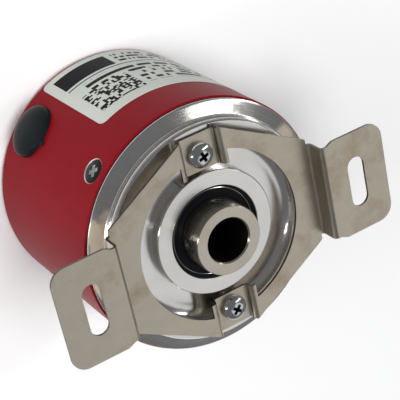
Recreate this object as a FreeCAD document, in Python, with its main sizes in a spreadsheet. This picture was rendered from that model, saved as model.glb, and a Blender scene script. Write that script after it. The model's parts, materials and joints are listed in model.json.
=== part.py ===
"""Hollow-shaft rotary encoder with a sheet-steel stator coupling, as a parametric FreeCAD document.

The origin is the centre of the rear cover's flat face. +Z runs along the shaft, towards the mounting side.
X joins the two slots of the stator coupling. Lengths are in millimetres.
"""
import FreeCAD, Part

import math
import os

import Sketcher

doc = FreeCAD.newDocument("rotary_encoder")

# ---------------------------------------------------------------- driving dimensions

DIMENSIONS = {
    # rear cover
    "cover_radius": 29.0,
    "cover_length": 44.0,
    "cover_wall": 2.0,
    "cover_floor": 2.5,
    "cover_corner": 2.0,
    "side_angle": 134.0,
    # flange, levels measured from the rear face of the cover
    "spigot_rear": 36.0,
    "rim_radius": 28.2,
    "collar_radius": 25.4,
    "collar_step": 0.35,
    "face_level": 48.0,
    "pocket_radius": 20.6,
    "pocket_floor": 45.7,
    "boss_radius": 14.25,
    "boss_level": 48.4,
    "mouth_radius": 10.6,
    "tube_radius": 14.5,
    "tube_rear": 23.5,
    # bearings
    "bearing_inside": 7.5,
    "bearing_outside": 12.0,
    "bearing_width": 5.0,
    "front_bearing": 40.0,
    "rear_bearing": 25.5,
    "ball_radius": 1.19,
    "ball_circle": 9.75,
    "ball_count": 14,
    "ring_shoulder": 0.9,
    "running_gap": 0.03,
    # hollow shaft
    "hub_radius": 7.8,
    "hub_level": 53.75,
    "bore_radius": 5.0,
    "bore_depth": 32.0,
    "shaft_rear": 17.9,
    "disc_seat_radius": 6.0,
    # stator coupling
    "sheet": 0.6,
    "plate_top": 50.5,
    "wing_top": 55.2,
    "channel_half": 4.2,
    "fold_half": 25.1,
    "wing_tip": 41.0,
    "wing_half": 12.0,
    "neck_half": 11.2,
    "foot_reach": 23.6,
    "plate_reach": 24.0,
    "plate_shoulder": 12.9,
    "opening_radius": 19.4,
    "foot_inner": 15.3,
    "bend_inside": 0.5,
    "slot_centre": 33.2,
    "slot_half_width": 2.15,
    "slot_length": 12.0,
    "screw_circle": 19.0,
    # code disc and electronics
    "disc_radius": 18.8,
    "disc_top": 21.2,
    "disc_thickness": 1.0,
    "track_radius": 16.8,
    "board_radius": 25.0,
    "board_bottom": 15.3,
    "board_thickness": 1.6,
    "standoff_circle": 22.6,
    # cable outlet and label
    "outlet_level": 9.5,
    "outlet_radius": 6.2,
    "outlet_neck": 5.2,
    "outlet_height": 31.4,
    "cover_screw_level": 39.4,
    "label_rear": 2.2,
    "label_front": 32.2,
    "label_start": 20.0,
    "label_end": 116.0,
    "label_thickness": 0.12,
}

sheet = doc.addObject("Spreadsheet::Sheet", "dims")
for row, (alias, value) in enumerate(DIMENSIONS.items(), start=1):
    sheet.set(f"A{row}", alias)
    sheet.set(f"B{row}", str(value))
    sheet.setAlias(f"B{row}", alias)
doc.recompute()

X = FreeCAD.Vector(1, 0, 0)
Y = FreeCAD.Vector(0, 1, 0)
Z = FreeCAD.Vector(0, 0, 1)
THIRD_TURN = 120.0


def cells(expression):
    """Bare cell names in an expression become references to the sheet."""
    words = sorted(DIMENSIONS, key=len, reverse=True)
    for number, word in enumerate(words):
        expression = expression.replace(word, f"<{number}>")
    for number, word in enumerate(words):
        expression = expression.replace(f"<{number}>", f"dims.{word}")
    return expression


def value(expression):
    """The number that an expression of sheet cells gives."""
    return float(sheet.evalExpression(cells(str(expression))))


def bind(thing, **properties):
    """Ties properties of an object to expressions of sheet cells."""
    for name, expression in properties.items():
        thing.setExpression(name.replace("_at_", "."), cells(str(expression)))
    return thing


# ---------------------------------------------------------------- ways of making a piece


def outline(body, plane, corners):
    """A closed sketch of straight edges on one of the body's planes, each corner held by two expressions."""
    sketch = body.newObject("Sketcher::SketchObject", body.Name + "_outline")
    ground = next(f for f in body.Origin.OriginFeatures if f.Role == plane)
    sketch.AttachmentSupport = [(ground, "")]
    sketch.MapMode = "FlatFace"
    points = [FreeCAD.Vector(value(a), value(b), 0) for a, b in corners]
    for start, end in zip(points, points[1:] + points[:1]):
        sketch.addGeometry(Part.LineSegment(start, end))
    for edge in range(len(points)):
        sketch.addConstraint(Sketcher.Constraint("Coincident", edge, 2, (edge + 1) % len(points), 1))
    for edge, (across, up) in enumerate(corners):
        for kind, size, place in (("DistanceX", across, points[edge].x), ("DistanceY", up, points[edge].y)):
            index = sketch.addConstraint(Sketcher.Constraint(kind, -1, 1, edge, 1, place))
            sketch.setExpression(f"Constraints[{index}]", cells(str(size)))
    return sketch


def turned(name, corners):
    """A body turned about the Z axis from corners given as (radius, level)."""
    body = doc.addObject("PartDesign::Body", name)
    sketch = outline(body, "XZ_Plane", corners)
    turning = body.newObject("PartDesign::Revolution", name + "_turning")
    turning.Profile = sketch
    turning.ReferenceAxis = (sketch, ["V_Axis"])
    turning.Angle = 360.0
    return body


def ring(name, inside, outside, low, high):
    """A plain turned ring or, with no inside radius, a plain turned disc."""
    return turned(name, [(inside, low), (outside, low), (outside, high), (inside, high)])


def padded(name, plane, corners, length, midplane=False):
    """A body padded from a straight-edged outline."""
    body = doc.addObject("PartDesign::Body", name)
    pad = body.newObject("PartDesign::Pad", name + "_pad")
    pad.Profile = outline(body, plane, corners)
    pad.Midplane = midplane
    bind(pad, Length=length)
    return body


def filleted(body, name, radius, chosen):
    """Rounds the edges of a body that a test chooses."""
    doc.recompute()
    base = body.Tip
    edges = [f"Edge{n}" for n, edge in enumerate(base.Shape.Edges, start=1) if chosen(edge)]
    fillet = body.newObject("PartDesign::Fillet", name)
    fillet.Base = (base, edges)
    bind(fillet, Radius=radius)
    body.Tip = fillet


def mirrored(body, name, plane):
    """Adds the mirror image of the whole body in one of its own planes."""
    doc.recompute()
    mirror = body.newObject("PartDesign::Mirrored", name)
    mirror.Originals = [body.Tip]
    mirror.TransformMode = "Whole shape"
    mirror.MirrorPlane = (next(f for f in body.Origin.OriginFeatures if f.Role == plane), [""])
    body.Tip = mirror


def rod(name, radius, length, low=None):
    """A cylinder along Z, with its lower end at a level where one is given."""
    piece = bind(doc.addObject("Part::Cylinder", name), Radius=radius, Height=length)
    return bind(piece, Placement_at_Base_at_z=low) if low else piece


def cone(name, low_radius, high_radius, length, low=None):
    """A cone along Z, with its lower end at a level where one is given."""
    piece = bind(doc.addObject("Part::Cone", name), Radius1=low_radius, Radius2=high_radius, Height=length)
    return bind(piece, Placement_at_Base_at_z=low) if low else piece


def block(name, length, width, height, across, along, low):
    """A box centred at (across, along), with its lowest face at a level."""
    piece = doc.addObject("Part::Box", name)
    return bind(piece, Length=length, Width=width, Height=height,
                Placement_at_Base_at_x=f"{across} - ({length}) / 2",
                Placement_at_Base_at_y=f"{along} - ({width}) / 2",
                Placement_at_Base_at_z=low)


def joined(name, *pieces):
    """One solid fused from pieces that meet."""
    piece = doc.addObject("Part::MultiFuse", name)
    piece.Shapes = list(pieces)
    return piece


def cut(name, base, *tools):
    """The base with each tool taken out of it."""
    piece = doc.addObject("Part::Cut", name)
    piece.Base = base
    piece.Tool = tools[0] if len(tools) == 1 else group(name + "_tools", tools)
    return piece


def common(name, first, second):
    """What two solids share."""
    piece = doc.addObject("Part::Common", name)
    piece.Base = first
    piece.Tool = second
    return piece


def group(name, pieces):
    """Several separate solids kept as one sub-part."""
    piece = doc.addObject("Part::Compound", name)
    piece.Links = list(pieces)
    return piece


def linked(name, original, placement):
    """Another of the same piece, somewhere else: the placement moves the original."""
    copy = doc.addObject("App::Link", name)
    copy.LinkedObject = original
    copy.LinkTransform = True
    copy.Placement = placement
    return copy


def around(name, original, angles):
    """The same piece repeated about the shaft's axis."""
    turns = [FreeCAD.Placement(FreeCAD.Vector(), FreeCAD.Rotation(Z, angle)) for angle in angles]
    return group(name, [linked(f"{name}_{n}", original, turn) for n, turn in enumerate(turns)])


def outward(piece, angle, radius, level):
    """Points a piece made along +Z outwards from the shaft's axis, its own zero at a radius and level."""
    direction = FreeCAD.Rotation(Z, angle).multVec(X)
    piece.Placement = FreeCAD.Placement(direction * radius + Z * level, FreeCAD.Rotation(Z, direction))
    return piece


def cross_recess(name, half_width, reach, depth, level):
    """The four-armed socket of a cross-head screw, cut down from a level."""
    arms = [block(f"{name}_{axis}", length, width, depth, "0", "0", f"{level} - {depth}")
            for axis, length, width in (("x", f"2 * {reach}", f"2 * {half_width}"),
                                        ("y", f"2 * {half_width}", f"2 * {reach}"))]
    return joined(name, *arms)


parts = []


def keep(piece, label):
    """Marks a finished sub-part, and gives it the name of its file."""
    piece.Label = label
    parts.append(piece)
    return piece


# ---------------------------------------------------------------- rear cover and its screws

COVER_SCREW_ANGLES = [value("side_angle") + THIRD_TURN * n for n in range(3)]
cup = turned("cover_cup", [
    ("0", "0"),
    ("cover_radius", "0"),
    ("cover_radius", "cover_length - 0.3"),
    ("cover_radius - 0.3", "cover_length"),
    ("cover_radius - cover_wall", "cover_length"),
    ("cover_radius - cover_wall", "cover_floor"),
    ("0", "cover_floor"),
])
filleted(cup, "cover_corner_round", "cover_corner",
         lambda edge: abs(edge.BoundBox.ZMax) < 1e-6 and isinstance(edge.Curve, Part.Circle))

sink = cone("countersink", "1.65", "2.95", "1.3")
outward(sink, COVER_SCREW_ANGLES[0], value("cover_radius - 1.25"), value("cover_screw_level"))
sink_hole = rod("countersink_hole", "1.6", "4")
outward(sink_hole, COVER_SCREW_ANGLES[0], value("cover_radius - 4"), value("cover_screw_level"))
sinks = around("countersinks", joined("countersink_tool", sink, sink_hole), [0, THIRD_TURN, 2 * THIRD_TURN])
outlet_hole = rod("outlet_hole", "outlet_neck + 0.05", "8")
outward(outlet_hole, value("side_angle"), value("cover_radius - 5"), value("outlet_level"))
keep(cut("cover", cup, sinks, outlet_hole), "rear_cover")

COVER_SCREW_HEAD = 2.7
sunk_head = cone("sunk_head", "1.5", COVER_SCREW_HEAD, "1.2", "5.8")
sunk_shank = rod("sunk_shank", "1.5", "5.8")
sunk_socket = cross_recess("sunk_socket", "0.32", "1.5", "0.9", "7")
sunk_screw = cut("sunk_screw", joined("sunk_solid", sunk_head, sunk_shank), sunk_socket)
outward(sunk_screw, COVER_SCREW_ANGLES[0], value("cover_radius - 7.12"), value("cover_screw_level"))
keep(around("sunk_screws", sunk_screw, [0, THIRD_TURN, 2 * THIRD_TURN]), "cover_screws")

# ---------------------------------------------------------------- cable outlet plug

outlet_head = turned("outlet_head_turned", [
    ("0", "27.9"),
    ("outlet_radius", "27.9"),
    ("outlet_radius", "outlet_height - 1.7"),
    ("outlet_radius - 0.25", "outlet_height - 1.0"),
    ("outlet_radius - 0.9", "outlet_height - 0.4"),
    ("outlet_radius - 2.1", "outlet_height - 0.05"),
    ("outlet_radius - 3.6", "outlet_height"),
    ("0", "outlet_height"),
])
outward(outlet_head, value("side_angle"), 0.0, value("outlet_level"))
cover_outside = rod("cover_outside", "cover_radius + 0.02", "cover_length")
outlet_cap = cut("outlet_cap", outlet_head, cover_outside)
outlet_stem = outward(rod("outlet_stem", "outlet_neck", "6.5"), value("side_angle"), 23.7, value("outlet_level"))
outlet_collar_blank = rod("outlet_collar_blank", "outlet_neck + 0.4", "3.2")
outward(outlet_collar_blank, value("side_angle"), 23.7, value("outlet_level"))
cover_inside = rod("cover_inside", "cover_radius - cover_wall - 0.02", "cover_length")
outlet_collar = common("outlet_collar", outlet_collar_blank, cover_inside)
keep(joined("outlet", outlet_cap, outlet_stem, outlet_collar), "cable_outlet_plug")

# ---------------------------------------------------------------- rating label

label_ring = ring("label_ring", "cover_radius + 0.01", "cover_radius + 0.01 + label_thickness",
                  "label_rear", "label_front")
label_sector = doc.addObject("Part::Cylinder", "label_sector")
bind(label_sector, Radius="cover_radius + 2", Height="cover_length", Angle="label_end - label_start")
label_sector.Placement = FreeCAD.Placement(FreeCAD.Vector(), FreeCAD.Rotation(Z, value("label_start")))
keep(common("label", label_ring, label_sector), "rating_label")

# ---------------------------------------------------------------- flange

BEARING_MOUTH = "front_bearing + bearing_width"
SPIGOT = "cover_radius - cover_wall - 0.05"
UNDERCUT = "cover_radius - 1.2"
flange_blank = turned("flange_blank", [
    ("bearing_outside + 0.01", "tube_rear"),
    ("tube_radius", "tube_rear"),
    ("tube_radius", "spigot_rear"),
    (SPIGOT, "spigot_rear"),
    (SPIGOT, "cover_length - 2.7"),
    (f"{SPIGOT} - 1.35", "cover_length - 2.7"),
    (f"{SPIGOT} - 1.35", "cover_length - 0.8"),
    (SPIGOT, "cover_length - 0.8"),
    (SPIGOT, "cover_length + 0.02"),
    (UNDERCUT, "cover_length + 0.02"),
    (UNDERCUT, "cover_length + 0.45"),
    ("cover_radius - 0.35", "cover_length + 0.45"),
    ("cover_radius - 0.35", "cover_length + 0.65"),
    ("rim_radius", "cover_length + 0.95"),
    ("collar_radius + 0.2", "cover_length + 1.7"),
    ("collar_radius", "cover_length + 1.9"),
    ("collar_radius", "face_level - 1.3"),
    ("collar_radius - collar_step", "face_level - 1.1"),
    ("collar_radius - collar_step", "face_level - 0.4"),
    ("collar_radius - collar_step - 0.4", "face_level"),
    ("pocket_radius", "face_level"),
    ("pocket_radius - 0.35", "pocket_floor + 1.15"),
    ("pocket_radius - 0.95", "pocket_floor + 0.5"),
    ("pocket_radius - 1.9", "pocket_floor + 0.12"),
    ("pocket_radius - 3.0", "pocket_floor"),
    ("boss_radius", "pocket_floor"),
    ("boss_radius", "boss_level - 0.2"),
    ("boss_radius - 0.2", "boss_level"),
    ("mouth_radius + 0.15", "boss_level"),
    ("mouth_radius", "boss_level - 0.15"),
    ("mouth_radius", BEARING_MOUTH),
    ("bearing_outside + 0.01", BEARING_MOUTH),
    ("bearing_outside + 0.01", "rear_bearing - 0.1"),
    ("bearing_outside + 0.55", "rear_bearing - 0.1"),
    ("bearing_outside + 0.55", "rear_bearing - 1.3"),
    ("bearing_outside + 0.01", "rear_bearing - 1.3"),
])
coupling_hole = rod("coupling_hole", "1.52", "7", "face_level - 6.4")
bind(coupling_hole, Placement_at_Base_at_y="screw_circle")
cover_tap = outward(rod("cover_tap", "1.52", "8"), COVER_SCREW_ANGLES[0], 20.5, value("cover_screw_level"))
STANDOFF_ANGLES = [73.0 + THIRD_TURN * n for n in range(3)]
standoff_tap = rod("standoff_tap", "1.27", "5.1", "spigot_rear - 0.1")
bind(standoff_tap, Placement_at_Base_at_x="standoff_circle")
keep(cut("flange", flange_blank,
         around("coupling_holes", coupling_hole, [0, 180]),
         around("cover_taps", cover_tap, [0, THIRD_TURN, 2 * THIRD_TURN]),
         around("standoff_taps", standoff_tap, STANDOFF_ANGLES)), "front_flange")
keep(ring("cover_ring_seal", f"{SPIGOT} - 1.33", f"{SPIGOT} + 0.03",
          "cover_length - 2.6", "cover_length - 0.9"), "cover_o_ring")

# ---------------------------------------------------------------- stator coupling

strip = padded("coupling_strip", "XZ_Plane", [
    ("0", "face_level"),
    ("channel_half + sheet", "face_level"),
    ("channel_half + sheet", "plate_top - sheet"),
    ("fold_half + sheet", "plate_top - sheet"),
    ("fold_half + sheet", "wing_top - sheet"),
    ("wing_tip + 1", "wing_top - sheet"),
    ("wing_tip + 1", "wing_top"),
    ("fold_half", "wing_top"),
    ("fold_half", "plate_top"),
    ("channel_half", "plate_top"),
    ("channel_half", "face_level + sheet"),
    ("0", "face_level + sheet"),
], "60", midplane=True)


def passes(edge, corners):
    """Whether a long straight edge of the strip passes through one of the corners given as (x, z)."""
    place = (edge.BoundBox.XMin, edge.BoundBox.ZMin)
    near = [math.dist(place, (value(x), value(z))) < 1e-3 for x, z in corners]
    return edge.BoundBox.YLength > 50 and any(near)


INSIDE_BENDS = [
    ("channel_half", "face_level + sheet"),
    ("channel_half + sheet", "plate_top - sheet"),
    ("fold_half", "plate_top"),
    ("fold_half + sheet", "wing_top - sheet"),
]
OUTSIDE_BENDS = [
    ("channel_half + sheet", "face_level"),
    ("channel_half", "plate_top"),
    ("fold_half + sheet", "plate_top - sheet"),
    ("fold_half", "wing_top"),
]
filleted(strip, "bend_inside", "bend_inside", lambda edge: passes(edge, INSIDE_BENDS))
filleted(strip, "bend_outside", "bend_inside + sheet", lambda edge: passes(edge, OUTSIDE_BENDS))
mirrored(strip, "strip_mirror", "YZ_Plane")

plan = padded("coupling_plan", "XY_Plane", [
    ("0", "0"),
    ("wing_tip", "0"),
    ("wing_tip", "wing_half"),
    ("fold_half + sheet + 2.6", "wing_half"),
    ("fold_half + sheet + 0.9", "neck_half"),
    ("fold_half - 0.6", "neck_half"),
    ("fold_half - 0.6", "plate_shoulder - 0.4"),
    ("fold_half - 1.2", "plate_shoulder"),
    ("channel_half + 0.4", "plate_reach"),
    ("channel_half", "foot_reach"),
    ("0", "foot_reach"),
], "wing_top + 5")
filleted(plan, "wing_corner", "3.6", lambda edge: edge.BoundBox.ZLength > 1
         and abs(edge.BoundBox.XMin - value("wing_tip")) < 1e-3
         and abs(edge.BoundBox.YMin - value("wing_half")) < 1e-3)
mirrored(plan, "plan_mirror_y", "XZ_Plane")
mirrored(plan, "plan_mirror_x", "YZ_Plane")

opening_round = rod("opening_round", "opening_radius", "wing_top + 5")
tab = block("opening_tab", "2 * (channel_half + sheet + 0.9)", "20", "wing_top + 5", "0", "foot_inner + 10", "0")
opening = cut("coupling_opening", opening_round, around("opening_tabs", tab, [0, 180]))
foot_hole = bind(rod("foot_hole", "1.7", "wing_top"), Placement_at_Base_at_y="screw_circle")
slot_middle = block("slot_middle", "2 * slot_half_width", "slot_length - 2 * slot_half_width",
                    "wing_top + 5", "slot_centre", "0", "0")
slot_ends = []
for way in ("+", "-"):
    end = rod(f"slot_end_{len(slot_ends)}", "slot_half_width", "wing_top + 5")
    bind(end, Placement_at_Base_at_x="slot_centre",
         Placement_at_Base_at_y=f"0 {way} (slot_length / 2 - slot_half_width)")
    slot_ends.append(end)
slot = joined("slot", slot_middle, *slot_ends)
keep(cut("coupling", common("coupling_sheet", strip, plan), opening,
         around("foot_holes", foot_hole, [0, 180]),
         around("slots", slot, [0, 180])), "stator_coupling")

HEAD_HEIGHT = 2.1
pan_base = "face_level + sheet"
pan_head = turned("pan_head", [
    ("0", pan_base),
    ("2.85", pan_base),
    ("2.85", f"{pan_base} + 0.9"),
    ("2.65", f"{pan_base} + 1.4"),
    ("2.1", f"{pan_base} + 1.85"),
    ("1.2", f"{pan_base} + {HEAD_HEIGHT}"),
    ("0", f"{pan_base} + {HEAD_HEIGHT}"),
])
pan_shank = rod("pan_shank", "1.5", "6.6", "face_level - 6")
pan_socket = cross_recess("pan_socket", "0.38", "1.6", "1.3", f"({pan_base} + {HEAD_HEIGHT})")
pan_screw = cut("pan_screw", joined("pan_solid", pan_head, pan_shank), pan_socket)
pan_screw.Placement = FreeCAD.Placement(Y * value("screw_circle"), FreeCAD.Rotation(Z, 20.0))
keep(around("pan_screws", pan_screw, [0, 180]), "coupling_screws")

# ---------------------------------------------------------------- shaft seal

SEAL_FRONT = "boss_level - 0.55"
keep(turned("seal", [
    ("hub_radius + 0.25", f"{BEARING_MOUTH} + 0.9"),
    ("mouth_radius - 0.02", f"{BEARING_MOUTH} + 0.3"),
    ("mouth_radius - 0.02", SEAL_FRONT),
    ("mouth_radius - 0.55", SEAL_FRONT),
    ("mouth_radius - 0.8", f"{SEAL_FRONT} - 0.5"),
    ("hub_radius + 1.0", f"{SEAL_FRONT} - 0.9"),
    ("hub_radius + 0.1", f"{SEAL_FRONT} - 0.5"),
    ("hub_radius + 0.1", f"{SEAL_FRONT} - 0.8"),
]), "shaft_seal")

# ---------------------------------------------------------------- ball bearings

GROOVE = "(ball_radius + running_gap)"
INNER_SHOULDER = "ball_circle - ring_shoulder"
OUTER_SHOULDER = "ball_circle + ring_shoulder"


def bearing(place, low):
    """A deep-groove ball bearing as inner ring, outer ring, balls, cage and two seals."""
    middle = value(f"{low} + bearing_width / 2")
    groove = doc.addObject("Part::Torus", f"{place}_groove")
    bind(groove, Radius1="ball_circle", Radius2=GROOVE)
    groove.Placement.Base = Z * middle
    inner = ring(f"{place}_inner_blank", "bearing_inside + 0.005", INNER_SHOULDER, low, f"{low} + bearing_width")
    keep(cut(f"{place}_inner", inner, groove), f"{place}_bearing_inner_ring")
    outer = turned(f"{place}_outer_blank", [
        (OUTER_SHOULDER, f"{low} + 0.55"),
        ("bearing_outside - 0.95", f"{low} + 0.55"),
        ("bearing_outside - 0.95", low),
        ("bearing_outside", low),
        ("bearing_outside", f"{low} + bearing_width"),
        ("bearing_outside - 0.95", f"{low} + bearing_width"),
        ("bearing_outside - 0.95", f"{low} + bearing_width - 0.55"),
        (OUTER_SHOULDER, f"{low} + bearing_width - 0.55"),
    ])
    keep(cut(f"{place}_outer", outer, linked(f"{place}_groove_again", groove, FreeCAD.Placement())),
         f"{place}_bearing_outer_ring")
    ball = bind(doc.addObject("Part::Sphere", f"{place}_ball"), Radius="ball_radius")
    ball.Placement.Base = X * value("ball_circle") + Z * middle
    count = int(value("ball_count"))
    steps = [360.0 / count * n for n in range(count)]
    keep(around(f"{place}_balls", ball, steps), f"{place}_bearing_balls")
    pocket = outward(rod(f"{place}_pocket", "ball_radius + 0.06", "3"), 0.0, value("ball_circle - 1.5"), middle)
    cage = ring(f"{place}_cage_blank", "ball_circle - 0.42", "ball_circle + 0.42",
                f"{low} + 1.0", f"{low} + bearing_width - 1.0")
    keep(cut(f"{place}_cage", cage, around(f"{place}_pockets", pocket, steps)), f"{place}_bearing_cage")
    seals = [ring(f"{place}_seal_{n}", f"{INNER_SHOULDER} + 0.1", "bearing_outside - 0.97", level, f"{level} + 0.35")
             for n, level in enumerate((f"{low} + 0.15", f"{low} + bearing_width - 0.5"))]
    keep(group(f"{place}_seals", seals), f"{place}_bearing_seals")


bearing("front", "front_bearing")
bearing("rear", "rear_bearing")
REAR_BEARING_FRONT = "rear_bearing + bearing_width"
keep(ring("inner_spacer", "bearing_inside + 0.01", "bearing_inside + 1.2",
          f"{REAR_BEARING_FRONT} + 0.01", "front_bearing - 0.01"), "inner_ring_spacer")
keep(ring("outer_spacer", "bearing_outside - 1.1", "bearing_outside - 0.02",
          f"{REAR_BEARING_FRONT} + 0.62", "front_bearing - 0.01"), "outer_ring_spacer")
keep(ring("preload_washer", "bearing_outside - 1.2", "bearing_outside - 0.1",
          f"{REAR_BEARING_FRONT} + 0.02", f"{REAR_BEARING_FRONT} + 0.6"), "preload_washer")
bore_clip = ring("bore_clip_ring", "bearing_outside - 1.1", "bearing_outside + 0.5",
                 "rear_bearing - 1.2", "rear_bearing - 0.15")
bore_clip_gap = block("bore_clip_gap", "5", "4", "3", "bearing_outside", "0", "rear_bearing - 2")
keep(cut("bore_clip", bore_clip, bore_clip_gap), "bearing_retaining_ring")

# ---------------------------------------------------------------- hollow shaft

SHAFT_CLIP_TOP = "rear_bearing - 0.05"
BORE_END = "hub_level - bore_depth"
shaft_blank = turned("shaft_blank", [
    ("0", "shaft_rear"),
    ("disc_seat_radius - 0.3", "shaft_rear"),
    ("disc_seat_radius", "shaft_rear + 0.3"),
    ("disc_seat_radius", f"{SHAFT_CLIP_TOP} - 1.6"),
    ("bearing_inside", f"{SHAFT_CLIP_TOP} - 1.6"),
    ("bearing_inside", f"{SHAFT_CLIP_TOP} - 1.0"),
    ("bearing_inside - 0.4", f"{SHAFT_CLIP_TOP} - 1.0"),
    ("bearing_inside - 0.4", SHAFT_CLIP_TOP),
    ("bearing_inside", SHAFT_CLIP_TOP),
    ("bearing_inside", f"{BEARING_MOUTH} + 0.01"),
    ("hub_radius", f"{BEARING_MOUTH} + 0.01"),
    ("hub_radius", "hub_level - 0.15"),
    ("hub_radius - 0.15", "hub_level"),
    ("bore_radius + 0.3", "hub_level"),
    ("bore_radius", "hub_level - 0.3"),
    ("bore_radius", BORE_END),
    ("0", f"{BORE_END} - 2.5"),
])
SET_SCREW_ANGLES = [82.0, 172.0]
SET_SCREW_LEVEL = "boss_level + 1.9"
tapped = outward(rod("set_screw_tap", "1.52", "6"), 0.0, 3.5, value(SET_SCREW_LEVEL))
keep(cut("shaft", shaft_blank, around("set_screw_taps", tapped, SET_SCREW_ANGLES)), "hollow_shaft")
grub = rod("grub", "1.5", "2.55")
grub_socket = doc.addObject("Part::Prism", "grub_socket")
grub_socket.Polygon = 6
bind(grub_socket, Circumradius="0.87", Height="1.6", Placement_at_Base_at_z="1.3")
grub_screw = outward(cut("grub_screw", grub, grub_socket), 0.0, value("bore_radius + 0.12"), value(SET_SCREW_LEVEL))
keep(around("grub_screws", grub_screw, SET_SCREW_ANGLES), "shaft_set_screws")
shaft_clip = ring("shaft_clip_ring", "bearing_inside - 0.37", "bearing_inside + 1.1",
                  f"{SHAFT_CLIP_TOP} - 0.95", f"{SHAFT_CLIP_TOP} - 0.03")
shaft_clip_gap = block("shaft_clip_gap", "4", "3.4", "3", "-bearing_inside - 0.6", "0", "rear_bearing - 2")
keep(cut("shaft_clip", shaft_clip, shaft_clip_gap), "shaft_retaining_ring")

# ---------------------------------------------------------------- code disc on its hub

DISC_BOTTOM = "disc_top - disc_thickness"
disc_hub = turned("disc_hub_turned", [
    ("disc_seat_radius + 0.01", "disc_top + 0.01"),
    ("10.5", "disc_top + 0.01"),
    ("10.5", "disc_top + 1.2"),
    ("8.4", "disc_top + 1.2"),
    ("8.4", "disc_top + 2.2"),
    ("disc_seat_radius + 0.01", "disc_top + 2.2"),
])
CLAMP_SCREW_CIRCLE = 8.2
clamp_tap = rod("clamp_tap", "0.82", "6", "disc_top - 4")
clamp_tap.Placement.Base.x = CLAMP_SCREW_CIRCLE
clamp_angles = [0, THIRD_TURN, 2 * THIRD_TURN]
keep(cut("disc_hub", disc_hub, around("hub_taps", clamp_tap, clamp_angles)), "disc_hub")
disc = ring("disc_glass", "disc_seat_radius + 0.02", "disc_radius", DISC_BOTTOM, "disc_top")
keep(cut("disc", disc, around("disc_holes", clamp_tap, clamp_angles)), "code_disc")
clamp = ring("clamp_blank", "disc_seat_radius + 0.02", "10.2", f"{DISC_BOTTOM} - 0.9", f"{DISC_BOTTOM} - 0.01")
keep(cut("disc_clamp", clamp, around("clamp_holes", clamp_tap, clamp_angles)), "disc_clamp_ring")
clamp_head = rod("clamp_head", "1.4", "0.9", f"{DISC_BOTTOM} - 1.81")
clamp_shank = rod("clamp_shank", "0.8", "3.4", f"{DISC_BOTTOM} - 0.95")
clamp_screw = joined("clamp_screw", clamp_head, clamp_shank)
clamp_screw.Placement.Base.x = CLAMP_SCREW_CIRCLE
keep(around("clamp_screws", clamp_screw, clamp_angles), "disc_clamp_screws")

# ---------------------------------------------------------------- light source and detector

BOARD_TOP = "board_bottom + board_thickness"
SENSOR_ANGLE = 250.0


def beside_track(piece):
    """Turns a piece made on +X to the angle where the optics stand."""
    piece.Placement = FreeCAD.Placement(FreeCAD.Vector(), FreeCAD.Rotation(Z, SENSOR_ANGLE)) * piece.Placement
    return piece


lamp_holder = block("lamp_holder_block", "7.2", "8", "spigot_rear - disc_top - 3.4",
                    "tube_radius + 3.7", "0", "disc_top + 3.38")
lamp_socket = bind(rod("lamp_socket", "1.55", "4", "disc_top + 3"), Placement_at_Base_at_x="track_radius")
keep(beside_track(cut("lamp_holder", lamp_holder, lamp_socket)), "led_holder")
lamp_body = rod("lamp_body", "1.5", "3.8", "disc_top + 2")
lamp_dome = bind(doc.addObject("Part::Sphere", "lamp_dome"), Radius="1.5", Placement_at_Base_at_z="disc_top + 2")
lamp = joined("lamp", lamp_body, lamp_dome)
bind(lamp, Placement_at_Base_at_x="track_radius")
lamp_lens = beside_track(lamp)
keep(lamp_lens, "led_emitter")
leads = [bind(rod(f"lamp_lead_{n}", "0.3", f"disc_top + 3.3 - ({BOARD_TOP})", f"{BOARD_TOP} + 0.01"),
              Placement_at_Base_at_x="disc_radius + 1.6", Placement_at_Base_at_y=place)
         for n, place in enumerate(("-1.27", "1.27"))]
keep(beside_track(group("lamp_leads", leads)), "led_leads")
detector = block("detector_block", "6.5", "8", "2.0", "track_radius", "0", f"{BOARD_TOP} + 0.01")
keep(beside_track(detector), "photo_detector")
reticle = block("reticle_plate", "5", "7", "0.7", "track_radius", "0", f"{BOARD_TOP} + 2.03")
keep(beside_track(reticle), "reticle")

# ---------------------------------------------------------------- circuit board and what is on it

board = ring("board_disc", "2.5", "board_radius", "board_bottom", BOARD_TOP)
board_hole = bind(rod("board_hole", "1.4", "4", "board_bottom - 1"), Placement_at_Base_at_x="standoff_circle")
keep(cut("board", board, around("board_holes", board_hole, STANDOFF_ANGLES)), "circuit_board")
post = doc.addObject("Part::Prism", "standoff_post")
post.Polygon = 6
bind(post, Circumradius="2.6", Height=f"spigot_rear - ({BOARD_TOP}) - 0.02",
     Placement_at_Base_at_x="standoff_circle", Placement_at_Base_at_z=f"{BOARD_TOP} + 0.01")
post_tap = bind(rod("standoff_lower_tap", "1.27", "6", f"{BOARD_TOP} - 1"), Placement_at_Base_at_x="standoff_circle")
post_stud = bind(rod("standoff_stud", "1.25", "5", "spigot_rear - 0.5"), Placement_at_Base_at_x="standoff_circle")
standoff = joined("standoff", cut("standoff_hex", post, post_tap), post_stud)
keep(around("standoffs", standoff, STANDOFF_ANGLES), "board_standoffs")
board_head = rod("board_screw_head", "2.2", "1.5", "board_bottom - 1.52")
board_shank = rod("board_screw_shank", "1.25", "6", "board_bottom - 0.1")
board_screw = joined("board_screw", board_head, board_shank)
bind(board_screw, Placement_at_Base_at_x="standoff_circle")
keep(around("board_screws", board_screw, STANDOFF_ANGLES), "board_screws")

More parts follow.
